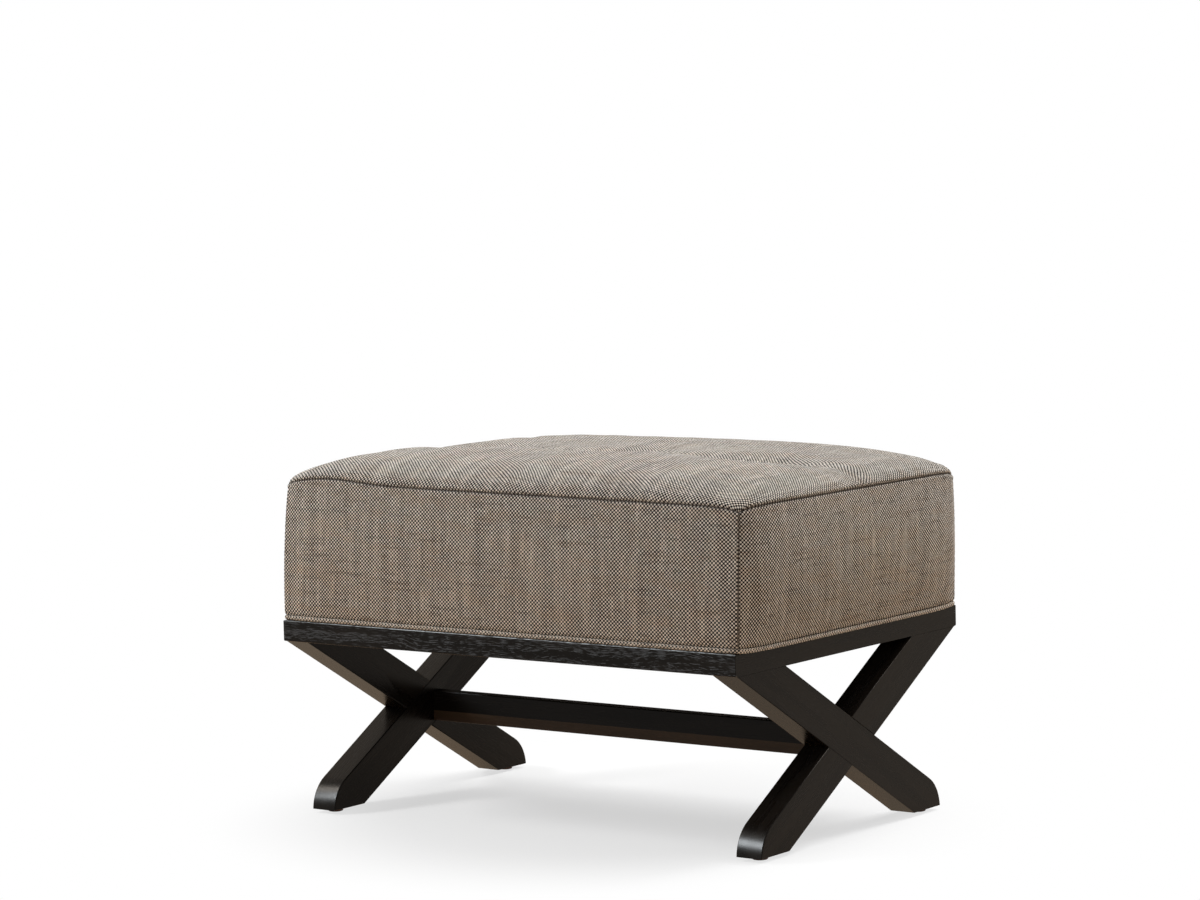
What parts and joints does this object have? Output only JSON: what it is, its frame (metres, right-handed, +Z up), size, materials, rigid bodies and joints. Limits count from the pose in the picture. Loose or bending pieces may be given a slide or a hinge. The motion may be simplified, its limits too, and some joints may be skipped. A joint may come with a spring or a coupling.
{
  "type": "upholstered ottoman",
  "caption": "Rectangular upholstered ottoman with a boxed, crowned and blind-tufted seat on a dark oak base with crossed legs and a stretcher.",
  "frame": {"origin": "centre of the footprint at floor level, under the bottoms of the glides", "axes": "+X along the long side to the right, +Y from front to back, +Z up"},
  "size_m": [0.702, 0.5016, 0.479],
  "materials": {
    "dark_oak": "open-grain oak stained black-brown, satin lacquer",
    "glide_nylon": "moulded dark brown nylon",
    "pine": "planed softwood, bare",
    "zinc_steel": "zinc plated",
    "black_lining": "thin black non-woven cloth",
    "jute": "plain woven jute",
    "wadding": "white polyester wadding",
    "foam": "open-cell upholstery foam, matt",
    "cover_weave": "two-tone woven upholstery cloth, cream and dark brown yarns in a small check"
  },
  "bodies": {
    "root": {"front_rail": "dark_oak", "back_rail": "dark_oak", "left_end_rail": "dark_oak", "right_end_rail": "dark_oak", "left_rear_leg": "dark_oak", "left_front_leg": "dark_oak", "right_rear_leg": "dark_oak", "right_front_leg": "dark_oak", "stretcher": "dark_oak", "glide_left_front": "glide_nylon", "glide_left_rear": "glide_nylon", "glide_right_front": "glide_nylon", "glide_right_rear": "glide_nylon", "corner_block_front_left": "pine", "corner_block_front_right": "pine", "corner_block_rear_left": "pine", "corner_block_rear_right": "pine", "seat_front_board": "pine", "seat_back_board": "pine", "seat_left_board": "pine", "seat_right_board": "pine", "seat_post_front_left": "pine", "seat_post_front_right": "pine", "seat_post_back_left": "pine", "seat_post_back_right": "pine", "seat_screw_front_left": "zinc_steel", "seat_screw_front_right": "zinc_steel", "seat_screw_rear_left": "zinc_steel", "seat_screw_rear_right": "zinc_steel", "dust_cover": "black_lining", "webbing_across_1": "jute", "webbing_across_2": "jute", "webbing_across_3": "jute", "webbing_across_4": "jute", "webbing_along_1": "jute", "webbing_along_2": "jute", "webbing_along_3": "jute", "hessian": "jute", "tuft_twine_1": "jute", "tuft_twine_2": "jute", "tuft_twine_3": "jute", "padding_front": "wadding", "padding_right": "wadding", "padding_back": "wadding", "padding_left": "wadding", "foam_block": "foam", "cover_front": "cover_weave", "cover_right": "cover_weave", "cover_back": "cover_weave", "cover_left": "cover_weave", "cover_top": "cover_weave", "welt": "cover_weave"}
  },
  "joints": []
}
